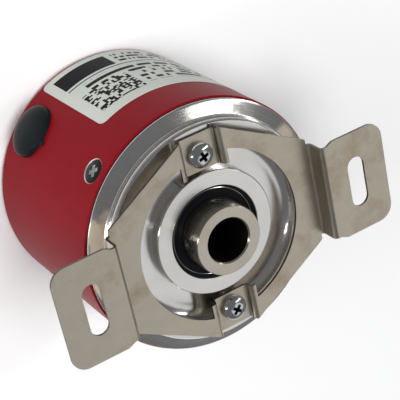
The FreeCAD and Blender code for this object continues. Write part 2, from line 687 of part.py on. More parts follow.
UNDER = "board_bottom - 0.01"
terminal = block("terminal_block", "6", "13", "5.2", "15.2", "0", f"{UNDER} - 5.2")
terminal_wells = [rod(f"terminal_well_{n}", "1.0", "2", f"{UNDER} - 5.5") for n in range(4)]
for n, well in enumerate(terminal_wells):
    well.Placement.Base.x = 15.2
    well.Placement.Base.y = -4.5 + 3.0 * n
terminals = cut("terminals", terminal, *terminal_wells)
terminals.Placement = FreeCAD.Placement(FreeCAD.Vector(), FreeCAD.Rotation(Z, value("side_angle")))
keep(terminals, "cable_terminal_block")
processor = block("processor_block", "7", "7", "1.0", "0", "-7", f"{UNDER} - 1.0")
drivers = [block(f"driver_{n}", "5", "4", "1.4", across, along, f"{UNDER} - 1.4")
           for n, (across, along) in enumerate((("12", "-6"), ("12", "0.5"), ("5", "12")))]
keep(group("chips", [processor, *drivers]), "board_chips")
cans = [rod(f"capacitor_{n}", "2.5", "5.4", f"{UNDER} - 5.4") for n in range(2)]
for can, (across, along) in zip(cans, ((-15.5, -8.0), (-10.5, -13.5))):
    can.Placement.Base.x = across
    can.Placement.Base.y = along
keep(group("capacitors", cans), "board_capacitors")

# ---------------------------------------------------------------- check and write

doc.recompute()
broken = [o.Name for o in doc.Objects if {"Invalid", "Error"} & set(o.State)]
if broken:
    raise SystemExit(f"these objects failed: {broken}")
os.makedirs("parts", exist_ok=True)
for piece in parts:
    shape = piece.Shape
    if shape.isNull() or not shape.isValid() or not shape.Solids:
        raise SystemExit(f"{piece.Label} has no valid solid")
    shape.exportStep(f"parts/{piece.Label}.step")
    print(f"{piece.Label}: {len(shape.Solids)} solid(s), {shape.Volume:.1f} mm3")
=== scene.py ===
import json
import math

import bmesh
import bpy
from mathutils import Matrix, Vector

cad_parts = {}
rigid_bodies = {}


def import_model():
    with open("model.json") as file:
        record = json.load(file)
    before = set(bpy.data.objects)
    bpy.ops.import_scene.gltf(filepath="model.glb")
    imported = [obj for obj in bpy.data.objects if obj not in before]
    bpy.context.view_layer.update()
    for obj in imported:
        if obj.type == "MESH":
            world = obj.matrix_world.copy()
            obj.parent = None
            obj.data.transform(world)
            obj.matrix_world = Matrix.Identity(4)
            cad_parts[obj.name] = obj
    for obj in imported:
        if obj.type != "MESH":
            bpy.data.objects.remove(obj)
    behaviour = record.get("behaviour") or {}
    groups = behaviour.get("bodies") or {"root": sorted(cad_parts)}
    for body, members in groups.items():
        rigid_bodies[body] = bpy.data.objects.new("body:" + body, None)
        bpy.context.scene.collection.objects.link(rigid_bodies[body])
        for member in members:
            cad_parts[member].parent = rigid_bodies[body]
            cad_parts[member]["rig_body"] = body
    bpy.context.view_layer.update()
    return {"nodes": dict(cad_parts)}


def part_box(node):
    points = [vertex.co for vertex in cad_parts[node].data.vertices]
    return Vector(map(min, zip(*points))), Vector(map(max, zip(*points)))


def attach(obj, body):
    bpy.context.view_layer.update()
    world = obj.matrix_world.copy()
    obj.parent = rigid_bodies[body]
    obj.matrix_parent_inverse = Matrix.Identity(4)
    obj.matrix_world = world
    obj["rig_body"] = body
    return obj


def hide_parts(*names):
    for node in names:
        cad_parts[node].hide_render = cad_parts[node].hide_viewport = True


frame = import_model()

# ------------------------------------------------------------------ floor, light and camera
# A plain pale floor, a dim even room and large soft lamps. The camera looks down on the mounting side
# from behind one shoulder and is rolled, so that the shaft points down and to the right. The scene is
# in metres, and MM is one millimetre of it.

MM = 0.001
FLOOR_HALF = 4.0
FLOOR_DROP = 0.02 * MM

floor_mesh = bmesh.new()
bmesh.ops.create_grid(floor_mesh, x_segments=1, y_segments=1, size=FLOOR_HALF)
bmesh.ops.translate(floor_mesh, verts=floor_mesh.verts, vec=(0, 0, -FLOOR_DROP))
floor = bpy.data.objects.new("floor", bpy.data.meshes.new("floor"))
floor_mesh.to_mesh(floor.data)
floor_mesh.free()
bpy.context.scene.collection.objects.link(floor)

floor_paint = bpy.data.materials.new("floor_paint")
floor_paint.use_nodes = True
floor_nodes = floor_paint.node_tree.nodes
floor_links = floor_paint.node_tree.links
floor_shader = floor_nodes["Principled BSDF"]
floor_shader.label = "pale matt floor"
floor_shader.inputs["Roughness"].default_value = 0.9
floor_frame = floor_nodes.new("NodeFrame")
floor_frame.label = "faint cloudiness of the floor"
floor_place = floor_nodes.new("ShaderNodeTexCoord")
floor_place.label = "place on the floor"
floor_place.location = (-800, 0)
floor_clouds = floor_nodes.new("ShaderNodeTexNoise")
floor_clouds.label = "very faint cloudiness"
floor_clouds.parent = floor_frame
floor_clouds.location = (-600, 0)
floor_clouds.inputs["Scale"].default_value = 3.0
floor_tone = floor_nodes.new("ShaderNodeMix")
floor_tone.data_type = "RGBA"
floor_tone.label = "two near-white tones"
floor_tone.parent = floor_frame
floor_tone.location = (-300, 0)
floor_tone.inputs[6].default_value = (0.86, 0.86, 0.86, 1)
floor_tone.inputs[7].default_value = (0.90, 0.90, 0.90, 1)
floor_links.new(floor_place.outputs["Object"], floor_clouds.inputs["Vector"])
floor_links.new(floor_clouds.outputs["Fac"], floor_tone.inputs[0])
floor_links.new(floor_tone.outputs[2], floor_shader.inputs["Base Color"])
floor.data.materials.append(floor_paint)

room = bpy.data.worlds.new("room")
room.use_nodes = True
room.node_tree.nodes["Background"].inputs["Color"].default_value = (0.95, 0.97, 1.0, 1)
room.node_tree.nodes["Background"].inputs["Strength"].default_value = 0.15
bpy.context.scene.world = room
bpy.context.scene.view_settings.view_transform = "Standard"


def away(azimuth, elevation):
    """The direction from the object out to a lamp or camera: azimuth 0 is towards -Y, and 90 towards +X."""
    turn = math.radians(azimuth)
    rise = math.radians(elevation)
    return Vector((math.sin(turn) * math.cos(rise), -math.cos(turn) * math.cos(rise), math.sin(rise)))


LAMP_AIM = Vector((0, 0, 30 * MM))


def softbox(name, azimuth, elevation, distance, size, power):
    """A square or oblong lamp that faces the middle of the object; lengths are in metres."""
    lamp = bpy.data.lights.new(name, "AREA")
    lamp.shape = "RECTANGLE"
    lamp.size, lamp.size_y = size
    lamp.energy = power
    holder = bpy.data.objects.new(name, lamp)
    outward = away(azimuth, elevation)
    holder.location = LAMP_AIM + outward * distance
    holder.rotation_euler = (-outward).to_track_quat("-Z", "Y").to_euler()
    bpy.context.scene.collection.objects.link(holder)
    return holder


softbox("face_light", 39, 50, 1.1, (0.8, 0.8), 1.1)
softbox("side_light", 265, 22, 1.0, (0.10, 0.8), 1.8)
softbox("strip_light", 105, 40, 1.0, (0.10, 0.9), 1.5)
shoulder_light = softbox("shoulder_light", 222, 74, 1.3, (0.5, 0.5), 13.0)
fill_light = softbox("fill_light", 240, 28, 1.2, (0.8, 0.8), 5.0)
# These two light the paint and the floor. They are kept out of reflections, so bright metal keeps its darks.
shoulder_light.visible_glossy = False
fill_light.visible_glossy = False

CAMERA_AZIMUTH = 219.5
CAMERA_ELEVATION = 53.0
CAMERA_ROLL = 121.4
CAMERA_DISTANCE = 303 * MM
CAMERA_AIM = Vector((3.2, 2.6, 37.6)) * MM
CAMERA_LENS = 124.0
camera = bpy.data.objects.new("camera", bpy.data.cameras.new("camera"))
back = away(CAMERA_AZIMUTH, CAMERA_ELEVATION)
facing = (-back).to_track_quat("-Z", "Y").to_matrix() @ Matrix.Rotation(math.radians(CAMERA_ROLL), 3, "Z")
camera.location = CAMERA_AIM + back * CAMERA_DISTANCE
camera.rotation_euler = facing.to_euler()
camera.data.lens = CAMERA_LENS
camera.data.clip_start = 0.01
bpy.context.scene.collection.objects.link(camera)
bpy.context.scene.camera = camera

# ------------------------------------------------------------------ rear cover
# A deep cup of drawn aluminium with a rounded rear corner, sprayed in semi-gloss red. It is pushed
# over the flange and held by three countersunk screws. The cut edge of its lip is painted near black:
# painted shade for the gap beside the flange.

MERGE = 0.002 * MM
FLAT = math.radians(0.3)
SHARP_EDGE = math.radians(30)
SHARP_SHADING = math.radians(35)


def softened(node, name, width):
    """A frame node's shape again, merged, with its sharp edges slightly rounded as a tumbled part's are."""
    shape = bmesh.new()
    shape.from_mesh(frame["nodes"][node].data)
    bmesh.ops.remove_doubles(shape, verts=shape.verts, dist=MERGE)
    bmesh.ops.dissolve_limit(shape, angle_limit=FLAT, verts=shape.verts, edges=shape.edges)
    bmesh.ops.dissolve_degenerate(shape, edges=shape.edges, dist=MERGE)
    sharp = [edge for edge in shape.edges if edge.is_manifold and edge.calc_face_angle() > SHARP_EDGE]
    bmesh.ops.bevel(shape, geom=sharp, offset=width, offset_type="OFFSET", segments=2, profile=0.5,
                    affect="EDGES", clamp_overlap=True, material=-1)
    return finished(shape, name, node)


def finished(shape, name, node):
    """Turns a made shape into a smooth-shaded piece that stands for a frame node and rides with its body."""
    mesh = bpy.data.meshes.new(name)
    for face in shape.faces:
        face.smooth = True
        face.material_index = 0
    shape.to_mesh(mesh)
    shape.free()
    mesh.set_sharp_from_angle(angle=SHARP_SHADING)
    piece = bpy.data.objects.new(name, mesh)
    bpy.context.scene.collection.objects.link(piece)
    flatten = piece.modifiers.new("flat_faces_stay_flat", "WEIGHTED_NORMAL")
    flatten.keep_sharp = True
    flatten.weight = 100
    settled = bpy.data.meshes.new_from_object(piece.evaluated_get(bpy.context.evaluated_depsgraph_get()))
    piece.modifiers.clear()
    piece.data = settled
    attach(piece, frame["nodes"][node]["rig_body"])
    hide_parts(node)
    return piece


def painted_metal(name, colour, shade):
    """Semi-gloss sprayed paint: a slow drift of tone, orange peel, and a few fine dust specks."""
    material = bpy.data.materials.new(name)
    material.use_nodes = True
    nodes = material.node_tree.nodes
    links = material.node_tree.links
    shader = nodes["Principled BSDF"]
    shader.label = "semi-gloss paint"
    shader.inputs["Specular IOR Level"].default_value = 0.04
    place = nodes.new("ShaderNodeTexCoord")
    place.label = "place on the cover"
    place.location = (-1300, 100)

    tone_frame = nodes.new("NodeFrame")
    tone_frame.label = "tone"
    drift = nodes.new("ShaderNodeTexNoise")
    drift.label = "slow drift of tone"
    drift.parent = tone_frame
    drift.location = (-1000, 300)
    drift.inputs["Scale"].default_value = 45.0
    drift.inputs["Detail"].default_value = 3.0
    mixed = nodes.new("ShaderNodeMix")
    mixed.data_type = "RGBA"
    mixed.label = "fresh and shaded red"
    mixed.parent = tone_frame
    mixed.location = (-700, 300)
    mixed.inputs[6].default_value = (*colour, 1)
    mixed.inputs[7].default_value = (*shade, 1)
    specks = nodes.new("ShaderNodeTexNoise")
    specks.label = "fine dust"
    specks.parent = tone_frame
    specks.location = (-1000, 500)
    specks.inputs["Scale"].default_value = 1800.0
    speck_size = nodes.new("ShaderNodeMapRange")
    speck_size.label = "only the largest specks"
    speck_size.parent = tone_frame
    speck_size.location = (-700, 520)
    speck_size.inputs["From Min"].default_value = 0.74
    speck_size.inputs["From Max"].default_value = 0.82
    speck_size.inputs["To Max"].default_value = 0.25
    dusted = nodes.new("ShaderNodeMix")
    dusted.data_type = "RGBA"
    dusted.label = "dust over the paint"
    dusted.parent = tone_frame
    dusted.location = (-400, 350)
    dusted.inputs[7].default_value = (0.45, 0.30, 0.28, 1)

    skin_frame = nodes.new("NodeFrame")
    skin_frame.label = "skin of the paint"
    peel = nodes.new("ShaderNodeTexNoise")
    peel.label = "orange peel"
    peel.parent = skin_frame
    peel.location = (-1000, -200)
    peel.inputs["Scale"].default_value = 900.0
    peel.inputs["Detail"].default_value = 2.0
    bump = nodes.new("ShaderNodeBump")
    bump.label = "shallow peel"
    bump.parent = skin_frame
    bump.location = (-400, -250)
    bump.inputs["Strength"].default_value = 0.12
    bump.inputs["Distance"].default_value = 0.00006
    gloss = nodes.new("ShaderNodeMapRange")
    gloss.label = "uneven gloss"
    gloss.parent = skin_frame
    gloss.location = (-400, 0)
    gloss.inputs["To Min"].default_value = 0.30
    gloss.inputs["To Max"].default_value = 0.42

    links.new(place.outputs["Object"], drift.inputs["Vector"])
    links.new(place.outputs["Object"], specks.inputs["Vector"])
    links.new(place.outputs["Object"], peel.inputs["Vector"])
    links.new(drift.outputs["Fac"], mixed.inputs[0])
    links.new(specks.outputs["Fac"], speck_size.inputs["Value"])
    links.new(speck_size.outputs["Result"], dusted.inputs[0])
    links.new(mixed.outputs[2], dusted.inputs[6])
    links.new(dusted.outputs[2], shader.inputs["Base Color"])
    links.new(drift.outputs["Fac"], gloss.inputs["Value"])
    links.new(gloss.outputs["Result"], shader.inputs["Roughness"])
    links.new(peel.outputs["Fac"], bump.inputs["Height"])
    links.new(bump.outputs["Normal"], shader.inputs["Normal"])
    return material


def moulded(name, colour, roughness, grain, tint=(0.02, 0.03, 0.035)):
    """Moulded rubber or plastic: fine grain, dull and glossy patches, and a trace of handling dust."""
    material = bpy.data.materials.new(name)
    material.use_nodes = True
    nodes = material.node_tree.nodes
    links = material.node_tree.links
    shader = nodes["Principled BSDF"]
    shader.label = "moulded skin"
    shader.inputs["Specular IOR Level"].default_value = 0.06
    place = nodes.new("ShaderNodeTexCoord")
    place.label = "place on the piece"
    place.location = (-1200, 0)

    tone_frame = nodes.new("NodeFrame")
    tone_frame.label = "tone"
    patches = nodes.new("ShaderNodeTexNoise")
    patches.label = "handled patches"
    patches.parent = tone_frame
    patches.location = (-900, 250)
    patches.inputs["Scale"].default_value = 160.0
    patches.inputs["Detail"].default_value = 4.0
    toned = nodes.new("ShaderNodeMix")
    toned.data_type = "RGBA"
    toned.label = "clean and dusty"
    toned.parent = tone_frame
    toned.location = (-500, 250)
    toned.inputs[6].default_value = (*colour, 1)
    toned.inputs[7].default_value = tuple(c + t for c, t in zip(colour, tint)) + (1,)

    skin_frame = nodes.new("NodeFrame")
    skin_frame.label = "moulded grain"
    pits = nodes.new("ShaderNodeTexNoise")
    pits.label = "fine grain"
    pits.parent = skin_frame
    pits.location = (-900, -250)
    pits.inputs["Scale"].default_value = grain
    pits.inputs["Detail"].default_value = 3.0
    bump = nodes.new("ShaderNodeBump")
    bump.label = "grain height"
    bump.parent = skin_frame
    bump.location = (-500, -250)
    bump.inputs["Strength"].default_value = 0.25
    bump.inputs["Distance"].default_value = 0.00005
    gloss = nodes.new("ShaderNodeMapRange")
    gloss.label = "uneven gloss"
    gloss.parent = skin_frame
    gloss.location = (-500, 0)
    gloss.inputs["To Min"].default_value = roughness * 0.8
    gloss.inputs["To Max"].default_value = roughness * 1.25

    links.new(place.outputs["Object"], patches.inputs["Vector"])
    links.new(place.outputs["Object"], pits.inputs["Vector"])
    links.new(patches.outputs["Fac"], toned.inputs[0])
    links.new(toned.outputs[2], shader.inputs["Base Color"])
    links.new(patches.outputs["Fac"], gloss.inputs["Value"])
    links.new(gloss.outputs["Result"], shader.inputs["Roughness"])
    links.new(pits.outputs["Fac"], bump.inputs["Height"])
    links.new(bump.outputs["Normal"], shader.inputs["Normal"])
    return material


COVER_SOFTENING = 0.12 * MM
cover = softened("rear_cover", "rear_cover_painted", COVER_SOFTENING)
cover.data.materials.append(painted_metal("cover_red", (0.235, 0.004, 0.010), (0.18, 0.003, 0.008)))
# The lip's near-black colour is painted shade for the gap between the cover and the flange.
cover.data.materials.append(moulded("lip_painted_shade", (0.012, 0.012, 0.012), 0.6, 1800.0, (0.02, 0.015, 0.01)))
cover_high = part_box("rear_cover")[1]
LIP_LEVEL = cover_high.z - COVER_SOFTENING - 0.02 * MM
# Faces above this level, the lip's cut edge, take the painted shade.
for face in cover.data.polygons:
    if face.center.z > LIP_LEVEL:
        face.material_index = 1

# ------------------------------------------------------------------ cable outlet plug
# A domed plug of black moulded rubber, pressed into the hole in the cover's side where a cable can
# leave. A small moulding tail is left on its edge.

OUTLET_TURN = math.radians(134)
OUTLET_LEVEL = 9.5 * MM


def spun(corners, steps=96):
    """A closed shape turned about Z from (radius, level) corners that start and end on the axis, or meet."""
    shape = bmesh.new()
    line = [shape.verts.new((radius * MM, 0, level * MM)) for radius, level in corners]
    edges = [shape.edges.new(pair) for pair in zip(line, line[1:])]
    if corners[0][0] > 0:
        edges.append(shape.edges.new((line[-1], line[0])))
    bmesh.ops.spin(shape, geom=line + edges, cent=(0, 0, 0), axis=(0, 0, 1), dvec=(0, 0, 0),
                   angle=math.tau, steps=steps, use_merge=True, use_normal_flip=False, use_duplicate=False)
    bmesh.ops.remove_doubles(shape, verts=shape.verts, dist=0.001 * MM)
    bmesh.ops.recalc_face_normals(shape, faces=shape.faces)
    return shape


def pointed_outward(shape, angle, level):
    """Turns a shape made along +Z so that it points out of the cover's side."""
    direction = Vector((math.cos(angle), math.sin(angle), 0))
    turned = direction.to_track_quat("Z", "Y").to_matrix().to_4x4()
    bmesh.ops.transform(shape, matrix=Matrix.Translation((0, 0, level)) @ turned, verts=shape.verts)


DOME_RADIUS = 6.15
DOME_EDGE = 29.2
DOME_TOP = 31.35
DOME_STEPS = 14
DOME_FULLNESS = 0.8
NECK_RADIUS = 5.1
NECK_END = 24.5
HEAD_FOOT = 27.6
TAIL_RADIUS = 0.8
dome_profile = [(0, NECK_END), (NECK_RADIUS, NECK_END), (NECK_RADIUS, HEAD_FOOT)]
dome_profile += [(DOME_RADIUS - 0.1, HEAD_FOOT), (DOME_RADIUS, DOME_EDGE - 0.8)]
for step in range(DOME_STEPS + 1):
    lean = math.radians(90) * step / DOME_STEPS
    across = DOME_RADIUS * math.cos(lean) ** DOME_FULLNESS
    up = DOME_EDGE + (DOME_TOP - DOME_EDGE) * math.sin(lean)
    dome_profile.append((max(across, 0.0), up))
dome_profile[-1] = (0, DOME_TOP)
dome = spun(dome_profile)
tail = bmesh.ops.create_uvsphere(dome, u_segments=20, v_segments=12, radius=TAIL_RADIUS * MM)["verts"]
bmesh.ops.scale(dome, vec=(1.0, 1.3, 0.9), verts=tail)
bmesh.ops.translate(dome, vec=(1.0 * MM, (DOME_RADIUS + 0.1) * MM, (DOME_EDGE - 0.2) * MM), verts=tail)
pointed_outward(dome, OUTLET_TURN, OUTLET_LEVEL)
plug = finished(dome, "cable_outlet_dome", "cable_outlet_plug")
plug.data.materials.append(moulded("black_rubber", (0.006, 0.007, 0.008), 0.28, 2500.0, (0.006, 0.009, 0.010)))

# ------------------------------------------------------------------ rating label
# A thin printed film, stuck round the side of the cover. Its print is made up: a dark block, rows of
# short bars and a square of dots that stand for a maker's panel, lines of data and a code.

LABEL_START = math.radians(20)
LABEL_END = math.radians(116)
LABEL_CORNER = 1.6 * MM
FILM_THICKNESS = 0.1 * MM
FILM_REACH = 0.12 * MM
label_low, label_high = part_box("rating_label")
COVER_RADIUS = cover_high.x
LABEL_WIDTH = (LABEL_END - LABEL_START) * COVER_RADIUS
LABEL_HEIGHT = label_high.z - label_low.z

flat = bmesh.new()
bmesh.ops.create_grid(flat, x_segments=120, y_segments=60, size=0.5, calc_uvs=False)
bmesh.ops.scale(flat, vec=(LABEL_WIDTH, LABEL_HEIGHT, 1), verts=flat.verts)
for vert in flat.verts:
    inset = Vector((max(abs(vert.co.x) - (LABEL_WIDTH / 2 - LABEL_CORNER), 0),
                    max(abs(vert.co.y) - (LABEL_HEIGHT / 2 - LABEL_CORNER), 0)))
    if inset.length > LABEL_CORNER:
        inset = inset * (1 - LABEL_CORNER / inset.length)
        vert.co.x -= math.copysign(inset.x, vert.co.x)
        vert.co.y -= math.copysign(inset.y, vert.co.y)
print_map = flat.loops.layers.uv.new("print")
for face in flat.faces:
    for loop in face.loops:
        loop[print_map].uv = (loop.vert.co.x / LABEL_WIDTH + 0.5, loop.vert.co.y / LABEL_HEIGHT + 0.5)
bmesh.ops.solidify(flat, geom=flat.faces, thickness=FILM_THICKNESS)
for vert in flat.verts:
    sunk = FILM_THICKNESS if abs(vert.co.z) > FILM_THICKNESS / 2 else 0.0
    angle = LABEL_END - (vert.co.x / LABEL_WIDTH + 0.5) * (LABEL_END - LABEL_START)
    reach = COVER_RADIUS + FILM_REACH - sunk
    level = label_low.z + LABEL_HEIGHT / 2 - vert.co.y
    vert.co = Vector((reach * math.cos(angle), reach * math.sin(angle), level))
bmesh.ops.recalc_face_normals(flat, faces=flat.faces)
label = finished(flat, "rating_label_film", "rating_label")

film = bpy.data.materials.new("label_print")
film.use_nodes = True
film_nodes = film.node_tree.nodes
film_links = film.node_tree.links
film_shader = film_nodes["Principled BSDF"]
film_shader.label = "printed film"
film_shader.inputs["Roughness"].default_value = 0.32
film_shader.inputs["Specular IOR Level"].default_value = 0.02
print_place = film_nodes.new("ShaderNodeUVMap")
print_place.label = "place on the label"
print_place.uv_map = "print"
print_place.location = (-2400, 0)
print_axes = film_nodes.new("ShaderNodeSeparateXYZ")
print_axes.label = "along and across"
print_axes.location = (-2200, 0)
film_links.new(print_place.outputs["UV"], print_axes.inputs["Vector"])


def printed_box(name, left, right, bottom, top, row):
    """1 inside a box of the label, 0 outside it, from four comparisons multiplied together."""
    box_frame = film_nodes.new("NodeFrame")
    box_frame.label = name
    result = None
    sides = [("X", left, "GREATER_THAN"), ("X", right, "LESS_THAN")]
    sides += [("Y", bottom, "GREATER_THAN"), ("Y", top, "LESS_THAN")]
    for column, (axis, limit, operation) in enumerate(sides):
        test = film_nodes.new("ShaderNodeMath")
        test.operation = operation
        test.label = f"{name}, side {column + 1}"
        test.parent = box_frame
        test.location = (-1900 + 180 * column, row)
        test.inputs[1].default_value = limit
        film_links.new(print_axes.outputs[axis], test.inputs[0])
        if result is None:
            result = test
        else:
            both = film_nodes.new("ShaderNodeMath")
            both.operation = "MULTIPLY"
            both.label = f"{name}, joined"
            both.parent = box_frame
            both.location = (-1900 + 180 * column, row - 160)
            film_links.new(result.outputs[0], both.inputs[0])
            film_links.new(test.outputs[0], both.inputs[1])
            result = both
    return result


def printed_marks(name, columns, rows, share, row, gap):
    """Random dark cells of a grid; a gap leaves the upper part of each row clear, as between lines."""
    mark_frame = film_nodes.new("NodeFrame")
    mark_frame.label = name
    spread = film_nodes.new("ShaderNodeVectorMath")
    spread.operation = "MULTIPLY"
    spread.label = f"{name}, grid"
    spread.parent = mark_frame
    spread.location = (-1900, row)
    spread.inputs[1].default_value = (columns, rows, 1)
    cell = film_nodes.new("ShaderNodeVectorMath")
    cell.operation = "FLOOR"
    cell.label = f"{name}, cell"
    cell.parent = mark_frame
    cell.location = (-1700, row)
    chance = film_nodes.new("ShaderNodeTexWhiteNoise")
    chance.noise_dimensions = "2D"
    chance.label = f"{name}, chance"
    chance.parent = mark_frame
    chance.location = (-1500, row)
    chosen = film_nodes.new("ShaderNodeMath")
    chosen.operation = "LESS_THAN"
    chosen.label = f"{name}, inked cells"
    chosen.parent = mark_frame
    chosen.location = (-1300, row)
    chosen.inputs[1].default_value = share
    within = film_nodes.new("ShaderNodeVectorMath")
    within.operation = "FRACTION"
    within.label = f"{name}, place in the cell"
    within.parent = mark_frame
    within.location = (-1700, row - 200)
    sides = film_nodes.new("ShaderNodeSeparateXYZ")
    sides.label = f"{name}, height in the cell"
    sides.parent = mark_frame
    sides.location = (-1500, row - 200)
    line = film_nodes.new("ShaderNodeMath")
    line.operation = "GREATER_THAN"
    line.label = f"{name}, space between lines"
    line.parent = mark_frame
    line.location = (-1300, row - 200)
    line.inputs[1].default_value = gap
    ink = film_nodes.new("ShaderNodeMath")
    ink.operation = "MULTIPLY"
    ink.label = f"{name}, ink"
    ink.parent = mark_frame
    ink.location = (-1100, row)
    film_links.new(print_place.outputs["UV"], spread.inputs[0])
    film_links.new(spread.outputs[0], cell.inputs[0])
    film_links.new(spread.outputs[0], within.inputs[0])
    film_links.new(cell.outputs[0], chance.inputs["Vector"])
    film_links.new(chance.outputs["Value"], chosen.inputs[0])
    film_links.new(within.outputs[0], sides.inputs["Vector"])
    film_links.new(sides.outputs["Y"], line.inputs[0])
    film_links.new(chosen.outputs[0], ink.inputs[0])
    film_links.new(line.outputs[0], ink.inputs[1])
    return ink


PRINT = [
    ("dark panel", (0.05, 0.33, 0.70, 0.93), None),
    ("rule under the panel", (0.05, 0.96, 0.655, 0.67), None),
    ("square of dots", (0.06, 0.30, 0.12, 0.47), ("dots", 80, 48, 0.5, 0.0)),
    ("small print", (0.36, 0.96, 0.70, 0.94), ("small bars", 90, 13, 0.62, 0.45)),
    ("data lines", (0.12, 0.94, 0.46, 0.62), ("data bars", 56, 12, 0.66, 0.4)),
    ("longer lines", (0.33, 0.92, 0.16, 0.46), ("long bars", 60, 12, 0.62, 0.4)),
]
inked = None
for place_number, (title, corners, marks) in enumerate(PRINT):
    height = 1200 - 700 * place_number
    area = printed_box(title, *corners, height)
    if marks:
        area_ink = film_nodes.new("ShaderNodeMath")
        area_ink.operation = "MULTIPLY"
        area_ink.label = f"{title}, marks kept inside"
        area_ink.location = (-900, height)
        pattern = printed_marks(*marks[:4], height - 350, marks[4])
        film_links.new(area.outputs[0], area_ink.inputs[0])
        film_links.new(pattern.outputs[0], area_ink.inputs[1])
        area = area_ink
    if inked is None:
        inked = area
    else:
        together = film_nodes.new("ShaderNodeMath")
        together.operation = "MAXIMUM"
        together.label = "all the ink so far"
        together.location = (-650, height)
        film_links.new(inked.outputs[0], together.inputs[0])
        film_links.new(area.outputs[0], together.inputs[1])
        inked = together
film_frame = film_nodes.new("NodeFrame")
film_frame.label = "unprinted film"
film_tone = film_nodes.new("ShaderNodeTexNoise")
film_tone.label = "faint yellowing"
film_tone.parent = film_frame
film_tone.location = (-900, 1500)
film_tone.inputs["Scale"].default_value = 6.0
film_ground = film_nodes.new("ShaderNodeMix")
film_ground.data_type = "RGBA"
film_ground.label = "film"
film_ground.parent = film_frame
film_ground.location = (-600, 1500)
film_ground.inputs[6].default_value = (0.50, 0.55, 0.50, 1)
film_ground.inputs[7].default_value = (0.60, 0.60, 0.56, 1)
film_colour = film_nodes.new("ShaderNodeMix")
film_colour.data_type = "RGBA"
film_colour.label = "film and ink"
film_colour.location = (-300, 400)
film_colour.inputs[7].default_value = (0.012, 0.012, 0.014, 1)
film_links.new(print_place.outputs["UV"], film_tone.inputs["Vector"])
film_links.new(film_tone.outputs["Fac"], film_ground.inputs[0])
film_links.new(film_ground.outputs[2], film_colour.inputs[6])
film_links.new(inked.outputs[0], film_colour.inputs[0])
film_links.new(film_colour.outputs[2], film_shader.inputs["Base Color"])
label.data.materials.append(film)

# ------------------------------------------------------------------ front flange
# The encoder's main body, turned from bright aluminium: a rim, a raised collar, a face with a round
# pocket, and a boss round the shaft. Its tool marks run in rings and draw reflections out across them.


